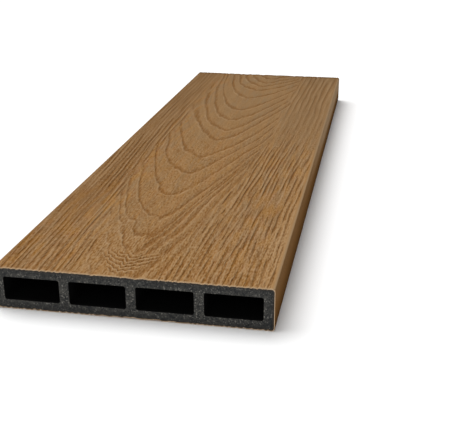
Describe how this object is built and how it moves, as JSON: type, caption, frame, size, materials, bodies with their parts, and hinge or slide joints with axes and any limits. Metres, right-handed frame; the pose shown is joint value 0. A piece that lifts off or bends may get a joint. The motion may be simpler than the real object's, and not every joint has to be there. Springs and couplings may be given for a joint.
{
  "type": "composite fence board",
  "caption": "Hollow co-extruded composite fence board with open rectangular cells, a dark core and a thin brown wood-grain cap, cut to a short length.",
  "frame": {"origin": "centre of the back face, which the board lies on", "axes": "+X across the width, +Y along the length away from the end that faces the camera, +Z through the thickness to the show face"},
  "size_m": [0.15, 0.5, 0.024],
  "materials": {
    "core": "charcoal wood-plastic with pale specks, sawn at the ends and smooth in the cells",
    "cap": "brown, matte, embossed with a cathedral wood grain and streaked in colour"
  },
  "bodies": {
    "root": {"core": "core", "cap": "cap"}
  },
  "joints": []
}
